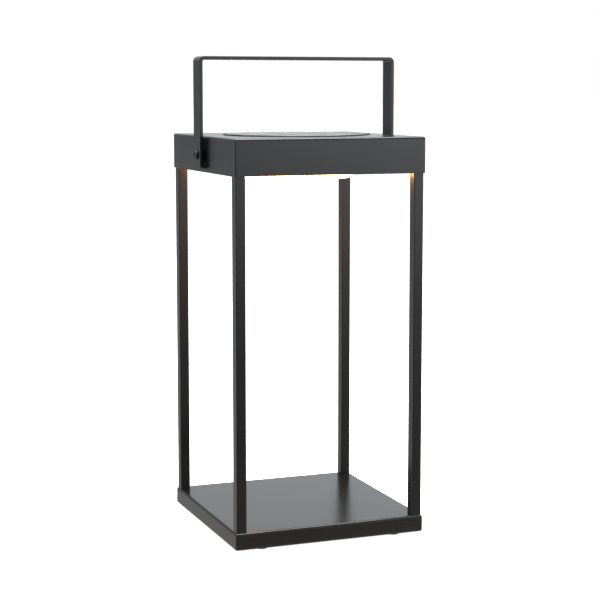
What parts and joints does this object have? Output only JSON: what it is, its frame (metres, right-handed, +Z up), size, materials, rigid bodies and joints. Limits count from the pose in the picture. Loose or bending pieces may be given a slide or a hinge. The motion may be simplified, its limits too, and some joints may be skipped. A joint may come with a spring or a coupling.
{
  "type": "solar lantern",
  "caption": "Square open-frame table lantern with a solar light head over slim posts, a pan base and a swinging strap handle.",
  "frame": {"origin": "centre of the square footprint, on the surface that the rubber feet stand on", "axes": "+X along the front face towards the right, +Y towards the back, +Z up"},
  "size_m": [0.1838, 0.17, 0.4077],
  "materials": {
    "powder_coat": "satin black powder coat on folded steel sheet and tube, fine orange peel",
    "rubber": "matt black rubber",
    "zinc_steel": "zinc-plated steel, satin",
    "black_steel": "blackened steel, satin",
    "black_plastic": "black moulded plastic, fine texture",
    "black_nylon": "black nylon, satin",
    "clear_cover": "clear moulded cover with a slight crown, glossy",
    "solar_cells": "dark blue-black solar cells under a clear film, thin silver bus lines",
    "opal_diffuser": "opal white plastic, lit warm white from inside",
    "white_plastic": "white moulded plastic",
    "white_board": "white solder mask with surface-mount lamps",
    "green_board": "green solder mask with small parts",
    "cell_wrap": "blue shrink film over a steel can",
    "red_lead": "red insulated wire",
    "black_lead": "black insulated wire"
  },
  "bodies": {
    "lantern": {"base_pan": "powder_coat", "head_shell": "powder_coat", "post_front_left": "powder_coat", "post_front_right": "powder_coat", "post_back_right": "powder_coat", "post_back_left": "powder_coat", "seal_ring": "rubber", "foot_pad_front_left": "rubber", "foot_pad_front_right": "rubber", "foot_pad_back_right": "rubber", "foot_pad_back_left": "rubber", "post_plug_lower_front_left": "zinc_steel", "post_plug_lower_front_right": "zinc_steel", "post_plug_lower_back_right": "zinc_steel", "post_plug_lower_back_left": "zinc_steel", "post_plug_upper_front_left": "zinc_steel", "post_plug_upper_front_right": "zinc_steel", "post_plug_upper_back_right": "zinc_steel", "post_plug_upper_back_left": "zinc_steel", "post_screw_lower_front_left": "zinc_steel", "post_screw_lower_front_right": "zinc_steel", "post_screw_lower_back_right": "zinc_steel", "post_screw_lower_back_left": "zinc_steel", "post_screw_upper_front_left": "zinc_steel", "post_screw_upper_front_right": "zinc_steel", "post_screw_upper_back_right": "zinc_steel", "post_screw_upper_back_left": "zinc_steel", "module_screw_1": "zinc_steel", "module_screw_2": "zinc_steel", "module_screw_3": "zinc_steel", "battery_contact_negative": "zinc_steel", "battery_contact_positive": "zinc_steel", "pivot_nut_left": "zinc_steel", "pivot_nut_right": "zinc_steel", "head_chassis": "black_steel", "switch_nut": "black_steel", "pivot_screw_left": "black_steel", "pivot_screw_right": "black_steel", "light_housing": "black_plastic", "battery_cradle": "black_plastic", "solar_bezel": "black_plastic", "switch_body": "black_plastic", "pivot_spacer_left": "black_nylon", "pivot_spacer_right": "black_nylon", "solar_cover": "clear_cover", "solar_panel": "solar_cells", "diffuser": "opal_diffuser", "reflector_ring": "white_plastic", "led_board": "white_board", "charge_board": "green_board", "battery_cell": "cell_wrap", "battery_lead_red": "red_lead", "solar_lead": "red_lead", "battery_lead_black": "black_lead", "led_lead": "black_lead", "switch_lead": "black_lead"},
    "handle": {"handle_strap": "powder_coat"},
    "button": {"power_button": "black_plastic"}
  },
  "joints": [
    {"name": "handle_swing", "type": "hinge", "parent": "lantern", "child": "handle", "pos_m": [0, 0, 0.3245], "axis": [1, 0, 0], "range_deg": [-72, 72]},
    {"name": "power_button_press", "type": "slide", "parent": "lantern", "child": "button", "axis": [0, 0, 1], "range_m": [0, 0.0013], "stiffness_N_per_m": 1500}
  ]
}
